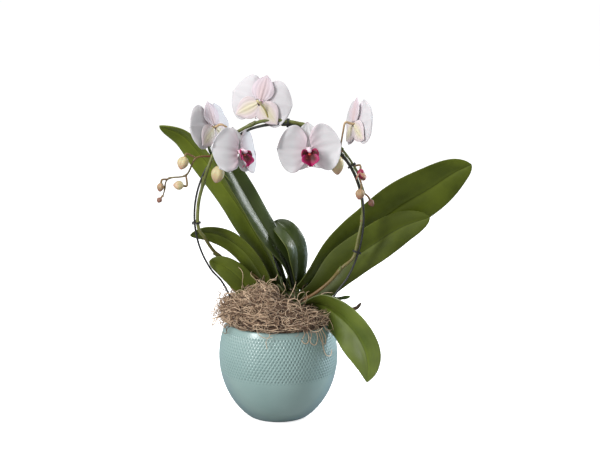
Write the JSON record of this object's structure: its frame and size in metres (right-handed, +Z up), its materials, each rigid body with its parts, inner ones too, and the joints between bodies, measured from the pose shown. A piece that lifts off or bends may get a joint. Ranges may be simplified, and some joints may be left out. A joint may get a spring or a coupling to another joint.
{
  "type": "potted orchid",
  "caption": "Moth orchid in a rounded glazed pot: moss-topped bark, strap leaves and two flower stems tied round an upright wire hoop.",
  "frame": {"origin": "middle of the flat underside of the pot's foot", "axes": "+Z up along the pot's axis, -Y towards the front that the open flowers face, +X to the right of that front"},
  "size_m": [0.3774, 0.1438, 0.4154],
  "materials": {
    "pot_glaze": "satin",
    "black_plastic": "matte",
    "black_wire": "satin",
    "leaf_base": "matte",
    "bark": "matte",
    "moss": "matte",
    "stem": "satin",
    "leaf": "satin",
    "leaf_dark": "gloss",
    "tie_wire": "matte",
    "bud": "satin",
    "root": "matte",
    "lip": "satin",
    "column": "satin",
    "sepal": "matte",
    "petal": "matte"
  },
  "bodies": {
    "root": {"flower_pot": "pot_glaze", "grower_pot": "black_plastic", "hoop": "black_wire", "plant_crown": "leaf_base", "spike_left": "stem", "spike_right": "stem", "spray_branch": "stem", "tie_left": "tie_wire", "tie_top": "tie_wire", "tie_upper_right": "tie_wire", "tie_lower_right": "tie_wire", "leaf_upper_left": "leaf", "leaf_back": "leaf_dark", "leaf_tall_centre": "leaf_dark", "leaf_arched": "leaf_dark", "leaf_mid_left": "leaf", "leaf_low_left": "leaf", "leaf_right_long": "leaf", "leaf_right_front": "leaf", "leaf_front_right": "leaf", "flower_top_column": "column", "flower_top_sepals": "sepal", "flower_top_petal_left": "petal", "flower_top_petal_right": "petal", "flower_top_lip": "lip", "flower_left_column": "column", "flower_left_sepals": "sepal", "flower_left_petal_left": "petal", "flower_left_petal_right": "petal", "flower_left_lip": "lip", "flower_front_left_column": "column", "flower_front_left_sepals": "sepal", "flower_front_left_petal_left": "petal", "flower_front_left_petal_right": "petal", "flower_front_left_lip": "lip", "flower_centre_column": "column", "flower_centre_sepals": "sepal", "flower_centre_petal_left": "petal", "flower_centre_petal_right": "petal", "flower_centre_lip": "lip", "flower_right_column": "column", "flower_right_sepals": "sepal", "flower_right_petal_left": "petal", "flower_right_petal_right": "petal", "flower_right_lip": "lip", "bud_left_large": "bud", "bud_right_large": "bud", "bud_spray_1": "bud", "bud_spray_2": "bud", "bud_spray_3": "bud", "bud_spray_tip": "bud", "bud_opening": "bud", "bud_right_small": "bud", "bud_right_tip": "bud", "aerial_root_upper": "root", "aerial_root_lower": "root", "bark_mix": "bark", "moss_topping": "moss"}
  },
  "joints": []
}
